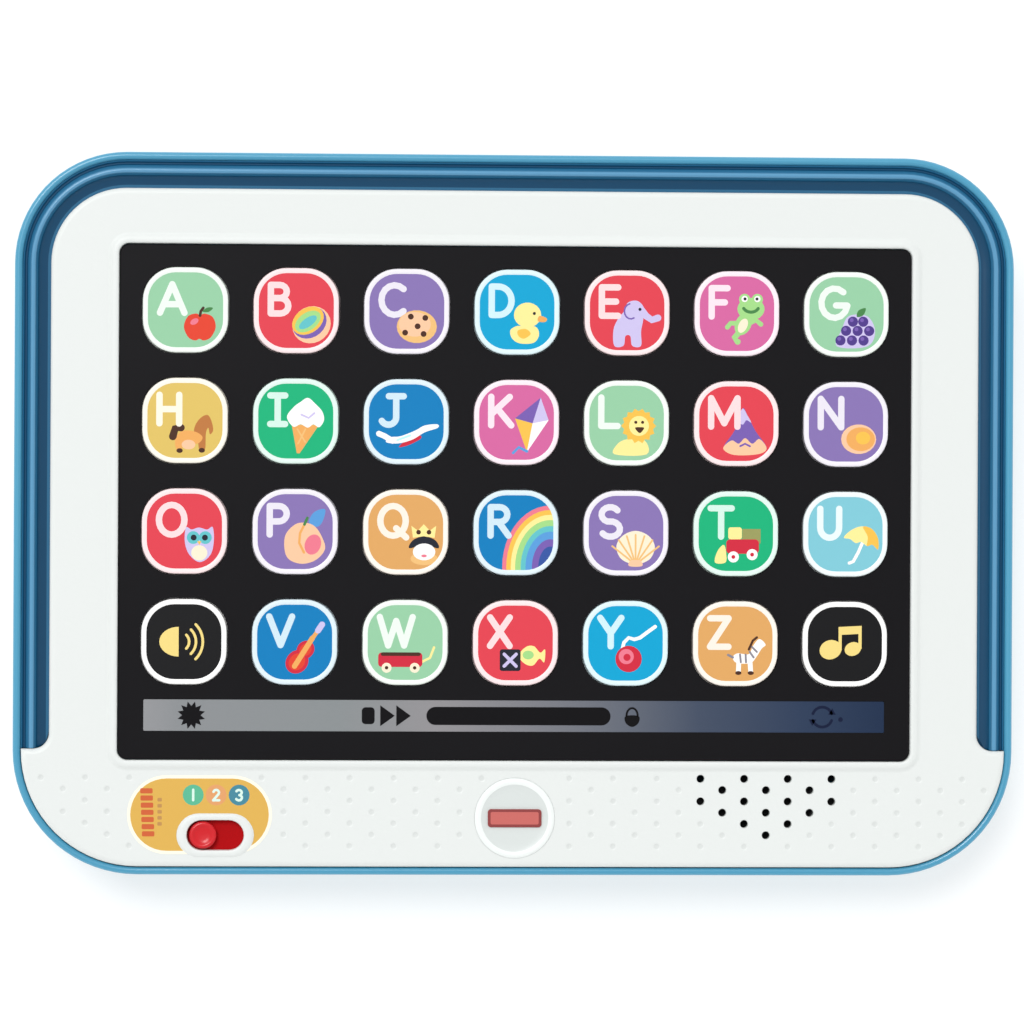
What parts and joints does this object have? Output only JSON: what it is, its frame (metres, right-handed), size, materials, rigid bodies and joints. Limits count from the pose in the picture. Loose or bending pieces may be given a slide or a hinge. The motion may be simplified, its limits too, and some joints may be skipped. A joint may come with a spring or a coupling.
{
  "type": "kids toy tablet",
  "caption": "Toy tablet with rounded blue shell and light rim, white bezel, black panel of pressable picture buttons, sliding mode switch, sound holes and battery door.",
  "frame": {"origin": "on the surface the tablet lies on, under the middle of the case's bounding box", "axes": "+X to the tablet's right along its longest side, +Y towards its top edge, +Z out of its front face"},
  "size_m": [0.25, 0.18, 0.028],
  "materials": {
    "shell_blue": "smooth moulded, light satin gloss",
    "rim_blue": "clear tinted, polished",
    "bezel_white": "fine satin",
    "panel_black": "polished",
    "bar_grey": "smoked, polished",
    "label_yellow": "printed film",
    "badge_red": "gloss",
    "slider_red": "gloss",
    "part_black": "matt",
    "switch_steel": "satin",
    "board_green": "lacquered",
    "keypad_rubber": "soft translucent",
    "led_clear": "clear",
    "screw_steel": "nickel plated",
    "cell_wrap": "printed wrap",
    "wire_red": "soft insulation",
    "wire_yellow": "soft insulation",
    "wire_blue": "soft insulation",
    "button_lt_green": "smooth moulded, printed",
    "button_red": "smooth moulded, printed",
    "button_purple": "smooth moulded, printed",
    "button_cyan": "smooth moulded, printed",
    "button_pink": "smooth moulded, printed",
    "button_yellow": "smooth moulded, printed",
    "button_green": "smooth moulded, printed",
    "button_blue": "smooth moulded, printed",
    "button_orange": "smooth moulded, printed",
    "button_lt_blue": "smooth moulded, printed",
    "button_black": "smooth moulded, printed"
  },
  "bodies": {
    "case": {"rear_shell": "shell_blue", "light_rim": "rim_blue", "front_bezel": "bezel_white", "screen_panel": "panel_black", "status_bar": "bar_grey", "mode_label": "label_yellow", "medallion": "bezel_white", "medallion_badge": "badge_red", "mode_switch": "switch_steel", "switch_board": "board_green", "keypad": "keypad_rubber", "circuit_board": "board_green", "board_parts": "part_black", "rim_leds": "led_clear", "speaker": "part_black", "speaker_retainer": "bezel_white", "battery_1": "cell_wrap", "battery_2": "cell_wrap", "battery_3": "cell_wrap", "battery_springs": "screw_steel", "battery_contacts": "screw_steel", "case_screws": "screw_steel", "board_screws": "screw_steel", "battery_leads": "wire_red", "speaker_leads": "wire_yellow", "switch_leads": "wire_blue"},
    "mode": {"mode_slider": "slider_red", "switch_lever": "part_black"},
    "door": {"battery_door": "shell_blue", "door_screws": "screw_steel"},
    "button_a": {"button_a": "button_lt_green"},
    "button_b": {"button_b": "button_red"},
    "button_c": {"button_c": "button_purple"},
    "button_d": {"button_d": "button_cyan"},
    "button_e": {"button_e": "button_red"},
    "button_f": {"button_f": "button_pink"},
    "button_g": {"button_g": "button_lt_green"},
    "button_h": {"button_h": "button_yellow"},
    "button_i": {"button_i": "button_green"},
    "button_j": {"button_j": "button_blue"},
    "button_k": {"button_k": "button_pink"},
    "button_l": {"button_l": "button_lt_green"},
    "button_m": {"button_m": "button_red"},
    "button_n": {"button_n": "button_purple"},
    "button_o": {"button_o": "button_red"},
    "button_p": {"button_p": "button_purple"},
    "button_q": {"button_q": "button_orange"},
    "button_r": {"button_r": "button_blue"},
    "button_s": {"button_s": "button_purple"},
    "button_t": {"button_t": "button_green"},
    "button_u": {"button_u": "button_lt_blue"},
    "button_sound": {"button_sound": "button_black"},
    "button_v": {"button_v": "button_blue"},
    "button_w": {"button_w": "button_lt_green"},
    "button_x": {"button_x": "button_red"},
    "button_y": {"button_y": "button_cyan"},
    "button_z": {"button_z": "button_orange"},
    "button_music": {"button_music": "button_black"}
  },
  "joints": [
    {"name": "mode_slide", "type": "slide", "parent": "case", "child": "mode", "axis": [1, 0, 0], "range_m": [0, 0.0062]},
    {"name": "door_lift", "type": "slide", "parent": "case", "child": "door", "axis": [0, 0, -1], "range_m": [0, 0.03]},
    {"name": "press_a", "type": "slide", "parent": "case", "child": "button_a", "axis": [0, 0, -1], "range_m": [0, 0.0008], "stiffness_N_per_m": 1500, "deforming": ["keypad"]},
    {"name": "press_b", "type": "slide", "parent": "case", "child": "button_b", "axis": [0, 0, -1], "range_m": [0, 0.0008], "stiffness_N_per_m": 1500, "deforming": ["keypad"]},
    {"name": "press_c", "type": "slide", "parent": "case", "child": "button_c", "axis": [0, 0, -1], "range_m": [0, 0.0008], "stiffness_N_per_m": 1500, "deforming": ["keypad"]},
    {"name": "press_d", "type": "slide", "parent": "case", "child": "button_d", "axis": [0, 0, -1], "range_m": [0, 0.0008], "stiffness_N_per_m": 1500, "deforming": ["keypad"]},
    {"name": "press_e", "type": "slide", "parent": "case", "child": "button_e", "axis": [0, 0, -1], "range_m": [0, 0.0008], "stiffness_N_per_m": 1500, "deforming": ["keypad"]},
    {"name": "press_f", "type": "slide", "parent": "case", "child": "button_f", "axis": [0, 0, -1], "range_m": [0, 0.0008], "stiffness_N_per_m": 1500, "deforming": ["keypad"]},
    {"name": "press_g", "type": "slide", "parent": "case", "child": "button_g", "axis": [0, 0, -1], "range_m": [0, 0.0008], "stiffness_N_per_m": 1500, "deforming": ["keypad"]},
    {"name": "press_h", "type": "slide", "parent": "case", "child": "button_h", "axis": [0, 0, -1], "range_m": [0, 0.0008], "stiffness_N_per_m": 1500, "deforming": ["keypad"]},
    {"name": "press_i", "type": "slide", "parent": "case", "child": "button_i", "axis": [0, 0, -1], "range_m": [0, 0.0008], "stiffness_N_per_m": 1500, "deforming": ["keypad"]},
    {"name": "press_j", "type": "slide", "parent": "case", "child": "button_j", "axis": [0, 0, -1], "range_m": [0, 0.0008], "stiffness_N_per_m": 1500, "deforming": ["keypad"]},
    {"name": "press_k", "type": "slide", "parent": "case", "child": "button_k", "axis": [0, 0, -1], "range_m": [0, 0.0008], "stiffness_N_per_m": 1500, "deforming": ["keypad"]},
    {"name": "press_l", "type": "slide", "parent": "case", "child": "button_l", "axis": [0, 0, -1], "range_m": [0, 0.0008], "stiffness_N_per_m": 1500, "deforming": ["keypad"]},
    {"name": "press_m", "type": "slide", "parent": "case", "child": "button_m", "axis": [0, 0, -1], "range_m": [0, 0.0008], "stiffness_N_per_m": 1500, "deforming": ["keypad"]},
    {"name": "press_n", "type": "slide", "parent": "case", "child": "button_n", "axis": [0, 0, -1], "range_m": [0, 0.0008], "stiffness_N_per_m": 1500, "deforming": ["keypad"]},
    {"name": "press_o", "type": "slide", "parent": "case", "child": "button_o", "axis": [0, 0, -1], "range_m": [0, 0.0008], "stiffness_N_per_m": 1500, "deforming": ["keypad"]},
    {"name": "press_p", "type": "slide", "parent": "case", "child": "button_p", "axis": [0, 0, -1], "range_m": [0, 0.0008], "stiffness_N_per_m": 1500, "deforming": ["keypad"]},
    {"name": "press_q", "type": "slide", "parent": "case", "child": "button_q", "axis": [0, 0, -1], "range_m": [0, 0.0008], "stiffness_N_per_m": 1500, "deforming": ["keypad"]},
    {"name": "press_r", "type": "slide", "parent": "case", "child": "button_r", "axis": [0, 0, -1], "range_m": [0, 0.0008], "stiffness_N_per_m": 1500, "deforming": ["keypad"]},
    {"name": "press_s", "type": "slide", "parent": "case", "child": "button_s", "axis": [0, 0, -1], "range_m": [0, 0.0008], "stiffness_N_per_m": 1500, "deforming": ["keypad"]},
    {"name": "press_t", "type": "slide", "parent": "case", "child": "button_t", "axis": [0, 0, -1], "range_m": [0, 0.0008], "stiffness_N_per_m": 1500, "deforming": ["keypad"]},
    {"name": "press_u", "type": "slide", "parent": "case", "child": "button_u", "axis": [0, 0, -1], "range_m": [0, 0.0008], "stiffness_N_per_m": 1500, "deforming": ["keypad"]},
    {"name": "press_sound", "type": "slide", "parent": "case", "child": "button_sound", "axis": [0, 0, -1], "range_m": [0, 0.0008], "stiffness_N_per_m": 1500, "deforming": ["keypad"]},
    {"name": "press_v", "type": "slide", "parent": "case", "child": "button_v", "axis": [0, 0, -1], "range_m": [0, 0.0008], "stiffness_N_per_m": 1500, "deforming": ["keypad"]},
    {"name": "press_w", "type": "slide", "parent": "case", "child": "button_w", "axis": [0, 0, -1], "range_m": [0, 0.0008], "stiffness_N_per_m": 1500, "deforming": ["keypad"]},
    {"name": "press_x", "type": "slide", "parent": "case", "child": "button_x", "axis": [0, 0, -1], "range_m": [0, 0.0008], "stiffness_N_per_m": 1500, "deforming": ["keypad"]},
    {"name": "press_y", "type": "slide", "parent": "case", "child": "button_y", "axis": [0, 0, -1], "range_m": [0, 0.0008], "stiffness_N_per_m": 1500, "deforming": ["keypad"]},
    {"name": "press_z", "type": "slide", "parent": "case", "child": "button_z", "axis": [0, 0, -1], "range_m": [0, 0.0008], "stiffness_N_per_m": 1500, "deforming": ["keypad"]},
    {"name": "press_music", "type": "slide", "parent": "case", "child": "button_music", "axis": [0, 0, -1], "range_m": [0, 0.0008], "stiffness_N_per_m": 1500, "deforming": ["keypad"]}
  ]
}
